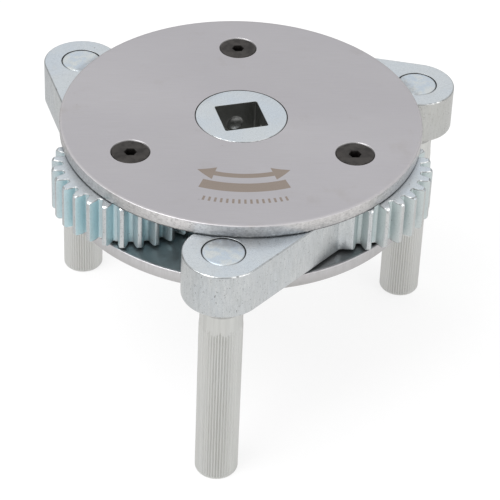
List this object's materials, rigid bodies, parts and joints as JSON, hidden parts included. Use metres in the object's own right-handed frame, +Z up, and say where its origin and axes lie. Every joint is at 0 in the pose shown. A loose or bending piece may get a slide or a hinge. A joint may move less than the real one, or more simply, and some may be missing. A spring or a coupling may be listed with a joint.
{
  "type": "oil filter wrench",
  "caption": "Gear-driven oil filter wrench: round plates carry toothed swing arms with knurled legs, all turned by a central gear with a square drive socket.",
  "frame": {"origin": "centre of the square drive socket, in the upper face of the top plate", "axes": "+Z up out of the socket, away from the legs; +Y towards the rear pivot; +X to the right"},
  "size_m": [0.1249, 0.1299, 0.0816],
  "materials": {
    "plate_steel": "finely brushed, satin, with softened edges",
    "zinc_gear": "bright zinc plating, semi-gloss, bluish on the tooth flanks",
    "leg_steel": "straight-knurled steel, satin, slightly warm",
    "black_screw": "black oxide, slightly oily satin",
    "turned_steel": "turned steel, satin"
  },
  "bodies": {
    "frame": {"top_plate": "plate_steel", "bottom_plate": "plate_steel", "drive_washer": "turned_steel", "pivot_pillar_rear": "turned_steel", "pivot_pillar_left": "turned_steel", "pivot_pillar_right": "turned_steel", "thrust_washer_rear": "turned_steel", "thrust_washer_left": "turned_steel", "thrust_washer_right": "turned_steel", "top_screw_rear": "black_screw", "top_screw_left": "black_screw", "top_screw_right": "black_screw", "bottom_screw_rear": "black_screw", "bottom_screw_left": "black_screw", "bottom_screw_right": "black_screw"},
    "drive": {"drive_gear": "zinc_gear"},
    "arm_right": {"arm_right": "zinc_gear", "leg_right": "leg_steel"},
    "arm_rear": {"arm_rear": "zinc_gear", "leg_rear": "leg_steel"},
    "arm_left": {"arm_left": "zinc_gear", "leg_left": "leg_steel"}
  },
  "joints": [
    {"name": "drive_spin", "type": "hinge", "parent": "frame", "child": "drive", "pos_m": [0, 0, 0], "axis": [0, 0, 1], "range_deg": [-289.9, 0.4]},
    {"name": "swing_right", "type": "hinge", "parent": "frame", "child": "arm_right", "pos_m": [0.03204, -0.0185, -0.0108], "axis": [0, 0, 1], "range_deg": [-0.3, 207.1]},
    {"name": "swing_rear", "type": "hinge", "parent": "frame", "child": "arm_rear", "pos_m": [0, 0.037, -0.0108], "axis": [0, 0, 1], "range_deg": [-0.3, 207.1]},
    {"name": "swing_left", "type": "hinge", "parent": "frame", "child": "arm_left", "pos_m": [-0.03204, -0.0185, -0.0108], "axis": [0, 0, 1], "range_deg": [-0.3, 207.1]}
  ],
  "couplings": [
    {"joint": "swing_right", "follows": "drive_spin", "ratio": -0.71429},
    {"joint": "swing_rear", "follows": "drive_spin", "ratio": -0.71429},
    {"joint": "swing_left", "follows": "drive_spin", "ratio": -0.71429}
  ]
}
